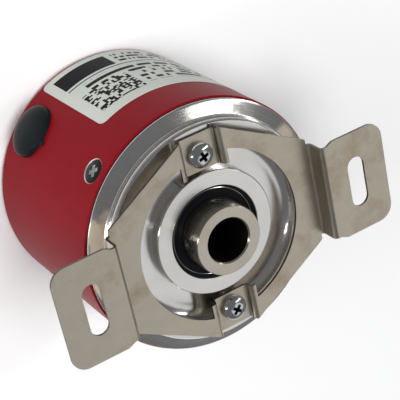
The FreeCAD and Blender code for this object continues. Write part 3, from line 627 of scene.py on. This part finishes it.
def turned_metal(name, colour, roughness, spread, ring_width, dirt=0.0):
    """Metal off the lathe: fine rings of tool marks, reflections drawn across them, faint stains."""
    material = bpy.data.materials.new(name)
    material.use_nodes = True
    nodes = material.node_tree.nodes
    links = material.node_tree.links
    shader = nodes["Principled BSDF"]
    shader.label = "turned metal"
    shader.inputs["Metallic"].default_value = 1.0
    shader.inputs["Anisotropic"].default_value = spread
    shader.inputs["Anisotropic Rotation"].default_value = 0.25
    place = nodes.new("ShaderNodeTexCoord")
    place.label = "place on the piece"
    place.location = (-1700, 0)
    axes = nodes.new("ShaderNodeSeparateXYZ")
    axes.label = "across and along the shaft"
    axes.location = (-1500, 0)

    ring_frame = nodes.new("NodeFrame")
    ring_frame.label = "rings of tool marks"
    across = nodes.new("ShaderNodeCombineXYZ")
    across.label = "across the shaft only"
    across.parent = ring_frame
    across.location = (-1300, -200)
    radius = nodes.new("ShaderNodeVectorMath")
    radius.operation = "LENGTH"
    radius.label = "distance from the axis"
    radius.parent = ring_frame
    radius.location = (-1100, -200)
    travel = nodes.new("ShaderNodeMath")
    travel.operation = "MULTIPLY_ADD"
    travel.label = "travel of the tool"
    travel.parent = ring_frame
    travel.location = (-900, -200)
    travel.inputs[1].default_value = 0.6
    rings = nodes.new("ShaderNodeTexNoise")
    rings.noise_dimensions = "1D"
    rings.label = "uneven rings"
    rings.parent = ring_frame
    rings.location = (-700, -200)
    rings.inputs["Scale"].default_value = 1.0 / ring_width
    rings.inputs["Detail"].default_value = 2.0
    bump = nodes.new("ShaderNodeBump")
    bump.label = "depth of the marks"
    bump.parent = ring_frame
    bump.location = (-400, -300)
    bump.inputs["Strength"].default_value = 0.04
    bump.inputs["Distance"].default_value = 0.00002
    gloss = nodes.new("ShaderNodeMapRange")
    gloss.label = "dull and bright rings"
    gloss.parent = ring_frame
    gloss.location = (-400, 0)
    gloss.inputs["To Min"].default_value = roughness * 0.75
    gloss.inputs["To Max"].default_value = roughness * 1.3
    lathe = nodes.new("ShaderNodeTangent")
    lathe.direction_type = "RADIAL"
    lathe.axis = "Z"
    lathe.label = "direction of the marks"
    lathe.parent = ring_frame
    lathe.location = (-400, -550)

    tone_frame = nodes.new("NodeFrame")
    tone_frame.label = "tone and stains"
    stains = nodes.new("ShaderNodeTexNoise")
    stains.label = "stains"
    stains.parent = tone_frame
    stains.location = (-1100, 300)
    stains.inputs["Scale"].default_value = 130.0
    stains.inputs["Detail"].default_value = 6.0
    stain_edge = nodes.new("ShaderNodeMapRange")
    stain_edge.label = "where it is stained"
    stain_edge.parent = tone_frame
    stain_edge.location = (-850, 300)
    stain_edge.inputs["From Min"].default_value = 0.45
    stain_edge.inputs["From Max"].default_value = 0.75
    stain_edge.inputs["To Max"].default_value = 0.25 + dirt
    toned = nodes.new("ShaderNodeMix")
    toned.data_type = "RGBA"
    toned.label = "clean and stained metal"
    toned.parent = tone_frame
    toned.location = (-400, 300)
    toned.inputs[6].default_value = (*colour, 1)
    toned.inputs[7].default_value = (colour[0] * 0.72, colour[1] * 0.66, colour[2] * 0.58, 1)

    links.new(place.outputs["Object"], axes.inputs["Vector"])
    links.new(axes.outputs["X"], across.inputs["X"])
    links.new(axes.outputs["Y"], across.inputs["Y"])
    links.new(across.outputs["Vector"], radius.inputs[0])
    links.new(axes.outputs["Z"], travel.inputs[0])
    links.new(radius.outputs["Value"], travel.inputs[2])
    links.new(travel.outputs[0], rings.inputs["W"])
    links.new(rings.outputs["Fac"], bump.inputs["Height"])
    links.new(rings.outputs["Fac"], gloss.inputs["Value"])
    links.new(gloss.outputs["Result"], shader.inputs["Roughness"])
    links.new(bump.outputs["Normal"], shader.inputs["Normal"])
    links.new(lathe.outputs["Tangent"], shader.inputs["Tangent"])
    links.new(place.outputs["Object"], stains.inputs["Vector"])
    links.new(stains.outputs["Fac"], stain_edge.inputs["Value"])
    links.new(stain_edge.outputs["Result"], toned.inputs[0])
    links.new(toned.outputs[2], shader.inputs["Base Color"])
    return material


flange = softened("front_flange", "front_flange_turned", 0.08 * MM)
flange.data.materials.append(turned_metal("turned_aluminium", (0.86, 0.84, 0.82), 0.19, 0.75, 0.00022))

# ------------------------------------------------------------------ stator coupling
# One blank of thin stainless sheet, stamped and bent: two feet screwed to the flange, a plate over it,
# and two raised wings with slots. The rolled sheet is satin, slightly warm, and faintly stained; its
# sheared edges are coloured near black, painted shade along the edges.


def rolled_sheet(name, colour, stain):
    """Rolled stainless sheet: satin, with a fine grain along X, cloudy tone and brownish stains."""
    material = bpy.data.materials.new(name)
    material.use_nodes = True
    nodes = material.node_tree.nodes
    links = material.node_tree.links
    shader = nodes["Principled BSDF"]
    shader.label = "satin stainless"
    shader.inputs["Metallic"].default_value = 1.0
    place = nodes.new("ShaderNodeTexCoord")
    place.label = "place on the sheet"
    place.location = (-1500, 0)

    tone_frame = nodes.new("NodeFrame")
    tone_frame.label = "clouds and stains"
    clouds = nodes.new("ShaderNodeTexNoise")
    clouds.label = "cloudy tone"
    clouds.parent = tone_frame
    clouds.location = (-1100, 500)
    clouds.inputs["Scale"].default_value = 320.0
    clouds.inputs["Detail"].default_value = 5.0
    clouded = nodes.new("ShaderNodeMix")
    clouded.data_type = "RGBA"
    clouded.label = "light and dark clouds"
    clouded.parent = tone_frame
    clouded.location = (-800, 500)
    clouded.inputs[6].default_value = tuple(c * 0.93 for c in colour) + (1,)
    clouded.inputs[7].default_value = tuple(min(c * 1.07, 1) for c in colour) + (1,)
    marks = nodes.new("ShaderNodeTexNoise")
    marks.label = "brownish stains"
    marks.parent = tone_frame
    marks.location = (-1100, 250)
    marks.inputs["Scale"].default_value = 95.0
    marks.inputs["Detail"].default_value = 7.0
    marks.inputs["Roughness"].default_value = 0.65
    marked = nodes.new("ShaderNodeMapRange")
    marked.label = "where it is stained"
    marked.parent = tone_frame
    marked.location = (-800, 250)
    marked.inputs["From Min"].default_value = 0.50
    marked.inputs["From Max"].default_value = 0.72
    marked.inputs["To Max"].default_value = 0.7
    stained = nodes.new("ShaderNodeMix")
    stained.data_type = "RGBA"
    stained.label = "stained sheet"
    stained.parent = tone_frame
    stained.location = (-500, 400)
    stained.inputs[7].default_value = (*stain, 1)

    grain_frame = nodes.new("NodeFrame")
    grain_frame.label = "rolling grain"
    stretch = nodes.new("ShaderNodeMapping")
    stretch.label = "grain drawn out along the sheet"
    stretch.parent = grain_frame
    stretch.location = (-1100, -150)
    stretch.inputs["Scale"].default_value = (120, 5000, 5000)
    grain = nodes.new("ShaderNodeTexNoise")
    grain.label = "rolling grain"
    grain.parent = grain_frame
    grain.location = (-850, -150)
    grain.inputs["Scale"].default_value = 1.0
    grain.inputs["Detail"].default_value = 3.0
    gloss = nodes.new("ShaderNodeMapRange")
    gloss.label = "satin gloss"
    gloss.parent = grain_frame
    gloss.location = (-500, 0)
    gloss.inputs["To Min"].default_value = 0.30
    gloss.inputs["To Max"].default_value = 0.46
    bump = nodes.new("ShaderNodeBump")
    bump.label = "depth of the grain"
    bump.parent = grain_frame
    bump.location = (-500, -300)
    bump.inputs["Strength"].default_value = 0.12
    bump.inputs["Distance"].default_value = 0.00002

    links.new(place.outputs["Object"], clouds.inputs["Vector"])
    links.new(place.outputs["Object"], marks.inputs["Vector"])
    links.new(place.outputs["Object"], stretch.inputs["Vector"])
    links.new(stretch.outputs["Vector"], grain.inputs["Vector"])
    links.new(clouds.outputs["Fac"], clouded.inputs[0])
    links.new(clouded.outputs[2], stained.inputs[6])
    links.new(marks.outputs["Fac"], marked.inputs["Value"])
    links.new(marked.outputs["Result"], stained.inputs[0])
    links.new(stained.outputs[2], shader.inputs["Base Color"])
    links.new(grain.outputs["Fac"], gloss.inputs["Value"])
    links.new(gloss.outputs["Result"], shader.inputs["Roughness"])
    links.new(grain.outputs["Fac"], bump.inputs["Height"])
    links.new(bump.outputs["Normal"], shader.inputs["Normal"])
    return material


coupling = softened("stator_coupling", "stator_coupling_sheet", 0.07 * MM)
coupling.data.materials.append(rolled_sheet("stainless_sheet", (0.64, 0.58, 0.48), (0.42, 0.31, 0.20)))

# The sheared edges' near-black colour is painted shade along the edges of the sheet.
coupling.data.materials.append(rolled_sheet("sheared_edge_painted_shade", (0.12, 0.105, 0.09), (0.05, 0.04, 0.03)))
# A sheared edge is a narrow face whose normal hardly rises.
SHEARED_WIDTH = 1.0 * MM
UPRIGHT = 0.02
for face in coupling.data.polygons:
    corners = [coupling.data.vertices[number].co for number in face.vertices]
    around = sum((one - other).length for one, other in zip(corners, corners[1:] + corners[:1]))
    width = 2 * face.area / around
    if abs(face.normal.z) < UPRIGHT and width < SHEARED_WIDTH:
        face.material_index = 1

# ------------------------------------------------------------------ cross-head screws
# Bright zinc-plated steel screws: two pan heads hold the coupling's feet to the flange, and three
# countersunk heads, sunk in the cover's side, hold the cover. The countersunk heads are coloured near
# black, a painted dark reflection, and their sockets near white, a painted highlight.


def plated_steel(name, colour, roughness):
    """Bright plated or ground steel: faint clouding of the plating and fine random scratches."""
    material = bpy.data.materials.new(name)
    material.use_nodes = True
    nodes = material.node_tree.nodes
    links = material.node_tree.links
    shader = nodes["Principled BSDF"]
    shader.label = "bright steel"
    shader.inputs["Metallic"].default_value = 1.0
    place = nodes.new("ShaderNodeTexCoord")
    place.label = "place on the piece"
    place.location = (-1200, 0)

    tone_frame = nodes.new("NodeFrame")
    tone_frame.label = "plating"
    clouds = nodes.new("ShaderNodeTexNoise")
    clouds.label = "clouded plating"
    clouds.parent = tone_frame
    clouds.location = (-900, 250)
    clouds.inputs["Scale"].default_value = 700.0
    clouds.inputs["Detail"].default_value = 4.0
    toned = nodes.new("ShaderNodeMix")
    toned.data_type = "RGBA"
    toned.label = "bright and dull plating"
    toned.parent = tone_frame
    toned.location = (-500, 250)
    toned.inputs[6].default_value = (*colour, 1)
    toned.inputs[7].default_value = (colour[0] * 0.78, colour[1] * 0.79, colour[2] * 0.82, 1)

    wear_frame = nodes.new("NodeFrame")
    wear_frame.label = "scratches"
    scratches = nodes.new("ShaderNodeTexNoise")
    scratches.label = "fine scratches"
    scratches.parent = wear_frame
    scratches.location = (-900, -250)
    scratches.inputs["Scale"].default_value = 2600.0
    scratches.inputs["Distortion"].default_value = 1.5
    bump = nodes.new("ShaderNodeBump")
    bump.label = "scratch depth"
    bump.parent = wear_frame
    bump.location = (-500, -250)
    bump.inputs["Strength"].default_value = 0.10
    bump.inputs["Distance"].default_value = 0.00002
    gloss = nodes.new("ShaderNodeMapRange")
    gloss.label = "uneven gloss"
    gloss.parent = wear_frame
    gloss.location = (-500, 0)
    gloss.inputs["To Min"].default_value = roughness * 0.75
    gloss.inputs["To Max"].default_value = roughness * 1.4

    links.new(place.outputs["Object"], clouds.inputs["Vector"])
    links.new(place.outputs["Object"], scratches.inputs["Vector"])
    links.new(clouds.outputs["Fac"], toned.inputs[0])
    links.new(toned.outputs[2], shader.inputs["Base Color"])
    links.new(clouds.outputs["Fac"], gloss.inputs["Value"])
    links.new(gloss.outputs["Result"], shader.inputs["Roughness"])
    links.new(scratches.outputs["Fac"], bump.inputs["Height"])
    links.new(bump.outputs["Normal"], shader.inputs["Normal"])
    return material


SOCKET_END_TAPER = 0.35
SOCKET_SIDE_TAPER = 0.55


def cross_head(profile, top, depth, reach, half_width):
    """A turned screw with a tapered four-armed socket cut in its head."""
    body = bpy.data.objects.new("screw_body", bpy.data.meshes.new("screw_body"))
    shape = spun(profile, steps=64)
    shape.to_mesh(body.data)
    shape.free()
    socket = bmesh.new()
    for arm in range(2):
        added = bmesh.ops.create_cube(socket, size=1.0)["verts"]
        bmesh.ops.scale(socket, vec=(2 * reach * MM, 2 * half_width * MM, 2 * depth * MM), verts=added)
        for vert in added:
            if vert.co.z < 0:
                vert.co.x *= SOCKET_END_TAPER
                vert.co.y *= SOCKET_SIDE_TAPER
        quarter = Matrix.Rotation(math.radians(90 * arm), 3, "Z")
        bmesh.ops.rotate(socket, cent=(0, 0, 0), matrix=quarter, verts=added)
    bmesh.ops.translate(socket, vec=(0, 0, top * MM), verts=socket.verts)
    tool = bpy.data.objects.new("screw_socket", bpy.data.meshes.new("screw_socket"))
    socket.to_mesh(tool.data)
    socket.free()
    for thing in (body, tool):
        bpy.context.scene.collection.objects.link(thing)
    cutting = body.modifiers.new("socket", "BOOLEAN")
    cutting.object = tool
    cutting.solver = "EXACT"
    cutting.use_self = True
    cut = bpy.data.meshes.new_from_object(body.evaluated_get(bpy.context.evaluated_depsgraph_get()))
    for thing in (body, tool):
        bpy.data.objects.remove(thing)
    return cut


SCREW_CIRCLE = 19.0
SHANK_RADIUS = 1.45
PAN_RADIUS = 2.85
PAN_WALL = 0.75
PAN_DOME = 1.35
PAN_STEPS = 9
PAN_SOCKET_REACH = 1.9
PAN_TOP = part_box("coupling_screws")[1].z / MM
PAN_SEAT = PAN_TOP - PAN_WALL - PAN_DOME
SHANK_END = PAN_SEAT - 6.6
pan_profile = [(0, SHANK_END), (SHANK_RADIUS, SHANK_END), (SHANK_RADIUS, PAN_SEAT)]
pan_profile += [(PAN_RADIUS - 0.07, PAN_SEAT), (PAN_RADIUS, PAN_SEAT + 0.1)]
pan_profile += [(PAN_RADIUS, PAN_SEAT + PAN_WALL)]
for step in range(1, PAN_STEPS):
    lean = math.radians(90) * step / PAN_STEPS
    pan_profile.append((PAN_RADIUS * math.cos(lean) ** 0.75, PAN_SEAT + PAN_WALL + PAN_DOME * math.sin(lean)))
pan_profile.append((0, PAN_TOP))
pan_mesh = cross_head(pan_profile, PAN_TOP, 1.1, PAN_SOCKET_REACH, 0.5)
pans = bmesh.new()
for side, twist in ((1, 20), (-1, 48)):
    before = set(pans.verts)
    pans.from_mesh(pan_mesh)
    added = [vert for vert in pans.verts if vert not in before]
    bmesh.ops.rotate(pans, cent=(0, 0, 0), matrix=Matrix.Rotation(math.radians(twist), 3, "Z"), verts=added)
    bmesh.ops.translate(pans, vec=(0, side * SCREW_CIRCLE * MM, 0), verts=added)
pan_screws = finished(pans, "coupling_pan_screws", "coupling_screws")
zinc = plated_steel("bright_zinc", (0.80, 0.80, 0.79), 0.13)
pan_screws.data.materials.append(zinc)
pan_screws.data.materials.append(plated_steel("shaded_socket", (0.06, 0.06, 0.065), 0.45))
# The walls of a socket face up less than this, and its floor lies deeper than the dome round it.
WALL_RISE = 0.6
SOCKET_DEPTH = 0.6
for face in pan_screws.data.polygons:
    aside = math.hypot(face.center.x, abs(face.center.y) - SCREW_CIRCLE * MM)
    in_head = aside < (PAN_SOCKET_REACH + 0.1) * MM and face.center.z > (PAN_SEAT + 0.3) * MM
    deep = face.center.z < (PAN_TOP - SOCKET_DEPTH) * MM
    if in_head and (deep or face.normal.z < WALL_RISE):
        face.material_index = 1

COVER_SCREW_LEVEL = 39.4 * MM
SUNK_TOP = 28.88
SUNK_END = 22.0
SUNK_RADIUS = 2.62
SUNK_SOCKET_REACH = 2.0
SINK_RADIUS = 3.0 * MM
sunk_profile = [(0, SUNK_END), (SHANK_RADIUS, SUNK_END), (SHANK_RADIUS, SUNK_TOP - 1.25)]
sunk_profile += [(SUNK_RADIUS, SUNK_TOP - 0.12), (SUNK_RADIUS, SUNK_TOP - 0.05)]
sunk_profile += [(SUNK_RADIUS - 0.12, SUNK_TOP), (0, SUNK_TOP)]
sunk_mesh = cross_head(sunk_profile, SUNK_TOP, 0.9, SUNK_SOCKET_REACH, 0.55)
cover_screw_turns = [OUTLET_TURN + math.radians(120 * number) for number in range(3)]
sunk = bmesh.new()
for number, angle in enumerate(cover_screw_turns):
    one = bmesh.new()
    one.from_mesh(sunk_mesh)
    driven = Matrix.Rotation(math.radians(35 + 20 * number), 3, "Z")
    bmesh.ops.rotate(one, cent=(0, 0, 0), matrix=driven, verts=one.verts)
    pointed_outward(one, angle, COVER_SCREW_LEVEL)
    moved = bpy.data.meshes.new("sunk_screw")
    one.to_mesh(moved)
    one.free()
    sunk.from_mesh(moved)
sunk_screws = finished(sunk, "cover_sunk_screws", "cover_screws")
# The countersunk heads' near-black colour is a painted dark reflection; their sockets' near-white colour is a
# painted highlight.
sunk_screws.data.materials.append(plated_steel("zinc_painted_dark_reflection", (0.012, 0.013, 0.012), 0.25))
sunk_screws.data.materials.append(plated_steel("socket_painted_highlight", (0.90, 0.91, 0.87), 0.75))
cover.data.materials.append(plated_steel("bare_countersink", (0.85, 0.84, 0.82), 0.40))
centre = Vector((0, 0, COVER_SCREW_LEVEL))
for angle in cover_screw_turns:
    outward = Vector((math.cos(angle), math.sin(angle), 0))
    for face in sunk_screws.data.polygons:
        height = face.center.dot(outward)
        aside = (face.center - centre - outward * height).length
        # Socket faces take the painted highlight.
        if (SUNK_TOP - 1.0) * MM < height < (SUNK_TOP - 0.1) * MM and aside < SUNK_SOCKET_REACH * MM:
            face.material_index = 1
    for face in cover.data.polygons:
        height = face.center.dot(outward)
        aside = (face.center - centre - outward * height).length
        if height > 0 and aside < SINK_RADIUS:
            face.material_index = 2

# ------------------------------------------------------------------ shaft seal
# A black rubber lip seal in a thin steel case, pressed into the boss. Only its rim catches the light.

seal_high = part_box("shaft_seal")[1]
SEAL_OUT = seal_high.x / MM
SEAL_TOP = seal_high.z / MM
SEAL_LIP = 7.9
seal_profile = [(SEAL_LIP + 0.15, SEAL_TOP - 1.6), (SEAL_OUT, SEAL_TOP - 2.4), (SEAL_OUT, SEAL_TOP)]
seal_profile += [(SEAL_OUT - 0.45, SEAL_TOP), (SEAL_OUT - 0.6, SEAL_TOP - 0.55)]
seal_profile += [(SEAL_OUT - 1.5, SEAL_TOP - 0.8), (SEAL_LIP + 0.5, SEAL_TOP - 0.95)]
seal_profile += [(SEAL_LIP, SEAL_TOP - 0.5), (SEAL_LIP, SEAL_TOP - 1.0)]
seal_shape = spun(seal_profile)
RIM_RADIUS = SEAL_OUT - 0.72
RIM_LEVEL = SEAL_TOP - 0.42
RIM_BEAD = 0.13
rim_turns = [math.radians(45 * number) for number in range(8)]
rim_profile = [(RIM_RADIUS + RIM_BEAD * math.cos(turn), RIM_LEVEL + RIM_BEAD * math.sin(turn))
               for turn in rim_turns]
rim_mesh = bpy.data.meshes.new("seal_rim")
rim_shape = spun(rim_profile)
rim_shape.to_mesh(rim_mesh)
rim_shape.free()
rubber_faces = len(seal_shape.faces)
seal_shape.from_mesh(rim_mesh)
seal = finished(seal_shape, "shaft_seal_lip", "shaft_seal")
seal.data.materials.append(moulded("seal_rubber", (0.004, 0.004, 0.005), 0.35, 2500.0, (0.003, 0.003, 0.004)))
seal.data.materials.append(zinc)
for face in seal.data.polygons[rubber_faces:]:
    face.material_index = 1

# ------------------------------------------------------------------ hollow shaft and set screws
# The shaft's hub stands out of the boss: stainless steel with a satin turned face, a bore for the
# machine's shaft, and two steel set screws in tapped holes in its side.

shaft = softened("hollow_shaft", "hollow_shaft_turned", 0.06 * MM)
shaft.data.materials.append(turned_metal("shaft_stainless", (0.62, 0.57, 0.49), 0.24, 0.65, 0.0003, 0.2))
# The bore's near-black colour is painted shade inside the deep hole.
shaft.data.materials.append(turned_metal("bore_painted_shade", (0.10, 0.09, 0.08), 0.45, 0.3, 0.0003, 0.2))
BORE_RADIUS = 5.0 * MM
hub_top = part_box("hollow_shaft")[1].z
# Faces on the bore's wall below its mouth take the painted shade.
for face in shaft.data.polygons:
    if face.center.xy.length < BORE_RADIUS + 0.01 * MM and face.center.z < hub_top - 0.35 * MM:
        face.material_index = 1
set_screws = softened("shaft_set_screws", "shaft_set_screws_steel", 0.05 * MM)
set_screws.data.materials.append(plated_steel("set_screw_steel", (0.50, 0.49, 0.47), 0.25))

# ------------------------------------------------------------------ bearings, rings and spacers
# Two sealed ball bearings on the shaft, held apart by turned spacers and kept in place by spring
# rings. All of them are ground or turned steel, with polyamide cages and rubber seals.

ground_steel = plated_steel("ground_steel", (0.70, 0.70, 0.69), 0.14)
oxide_steel = plated_steel("spring_steel_oxide", (0.09, 0.09, 0.10), 0.35)
spacer_steel = turned_metal("spacer_steel", (0.56, 0.56, 0.55), 0.30, 0.6, 0.0003)
polyamide = moulded("natural_polyamide", (0.52, 0.46, 0.34), 0.45, 1600.0)
bearing_rubber = moulded("bearing_rubber", (0.008, 0.008, 0.009), 0.42, 2200.0, (0.004, 0.004, 0.004))
FINISHES = {
    ground_steel: ("front_bearing_inner_ring", "front_bearing_outer_ring", "front_bearing_balls",
                   "rear_bearing_inner_ring", "rear_bearing_outer_ring", "rear_bearing_balls",
                   "preload_washer"),
    oxide_steel: ("bearing_retaining_ring", "shaft_retaining_ring"),
    spacer_steel: ("inner_ring_spacer", "outer_ring_spacer", "disc_clamp_ring"),
    polyamide: ("front_bearing_cage", "rear_bearing_cage"),
    bearing_rubber: ("front_bearing_seals", "rear_bearing_seals", "cover_o_ring"),
}


def refinish(material, *names):
    """Gives frame nodes whose shape needs no more work a better material."""
    for name in names:
        mesh = frame["nodes"][name].data
        mesh.materials.clear()
        mesh.materials.append(material)


for material, names in FINISHES.items():
    refinish(material, *names)

# ------------------------------------------------------------------ code disc and its hub
# A glass disc with a chromed pattern of radial lines, clamped to a turned hub by a ring and screws.

disc_glass = bpy.data.materials.new("coded_glass")
disc_glass.use_nodes = True
disc_nodes = disc_glass.node_tree.nodes
disc_links = disc_glass.node_tree.links
disc_shader = disc_nodes["Principled BSDF"]
disc_shader.label = "glass and chrome lines"
disc_shader.inputs["Roughness"].default_value = 0.06
disc_frame = disc_nodes.new("NodeFrame")
disc_frame.label = "chromed lines"
disc_place = disc_nodes.new("ShaderNodeTexCoord")
disc_place.label = "place on the disc"
disc_place.location = (-1300, 0)
disc_lines = disc_nodes.new("ShaderNodeTexGradient")
disc_lines.gradient_type = "RADIAL"
disc_lines.label = "angle round the disc"
disc_lines.parent = disc_frame
disc_lines.location = (-1100, 0)
disc_count = disc_nodes.new("ShaderNodeMath")
disc_count.operation = "MULTIPLY"
disc_count.label = "lines round the disc"
disc_count.parent = disc_frame
disc_count.location = (-900, 0)
disc_count.inputs[1].default_value = 360.0
disc_within = disc_nodes.new("ShaderNodeMath")
disc_within.operation = "FRACT"
disc_within.label = "place in one line"
disc_within.parent = disc_frame
disc_within.location = (-700, 0)
disc_ink = disc_nodes.new("ShaderNodeMath")
disc_ink.operation = "GREATER_THAN"
disc_ink.label = "chromed or clear"
disc_ink.parent = disc_frame
disc_ink.location = (-500, 0)
disc_ink.inputs[1].default_value = 0.5
disc_mix = disc_nodes.new("ShaderNodeMix")
disc_mix.data_type = "RGBA"
disc_mix.label = "chrome and glass"
disc_mix.location = (-250, 0)
disc_mix.inputs[6].default_value = (0.20, 0.24, 0.24, 1)
disc_mix.inputs[7].default_value = (0.62, 0.63, 0.63, 1)
disc_links.new(disc_place.outputs["Object"], disc_lines.inputs["Vector"])
disc_links.new(disc_lines.outputs["Fac"], disc_count.inputs[0])
disc_links.new(disc_count.outputs[0], disc_within.inputs[0])
disc_links.new(disc_within.outputs[0], disc_ink.inputs[0])
disc_links.new(disc_ink.outputs[0], disc_mix.inputs[0])
disc_links.new(disc_ink.outputs[0], disc_shader.inputs["Metallic"])
disc_links.new(disc_mix.outputs[2], disc_shader.inputs["Base Color"])
refinish(disc_glass, "code_disc", "reticle")
refinish(turned_metal("disc_hub_aluminium", (0.78, 0.78, 0.77), 0.26, 0.6, 0.0003), "disc_hub")
refinish(zinc, "disc_clamp_screws", "board_screws", "led_leads")

# ------------------------------------------------------------------ circuit board and what is on it
# A green glass-epoxy board on brass standoffs, with moulded black chips, a green terminal block,
# aluminium capacitor cans, and the light source and detector that face each other across the disc.

board_green = moulded("board_green", (0.012, 0.10, 0.035), 0.30, 1400.0, (0.01, 0.05, 0.015))
chip_black = moulded("chip_black", (0.015, 0.015, 0.016), 0.5, 2400.0, (0.006, 0.006, 0.006))
terminal_green = moulded("terminal_green", (0.03, 0.22, 0.09), 0.42, 1800.0)
clear_epoxy = moulded("clear_epoxy", (0.48, 0.54, 0.60), 0.12, 900.0)
refinish(board_green, "circuit_board")
refinish(chip_black, "board_chips", "photo_detector", "led_holder")
refinish(terminal_green, "cable_terminal_block")
refinish(clear_epoxy, "led_emitter")
refinish(turned_metal("standoff_brass", (0.72, 0.52, 0.22), 0.26, 0.5, 0.0004), "board_standoffs")
refinish(turned_metal("can_aluminium", (0.70, 0.70, 0.70), 0.32, 0.4, 0.0005), "board_capacitors")
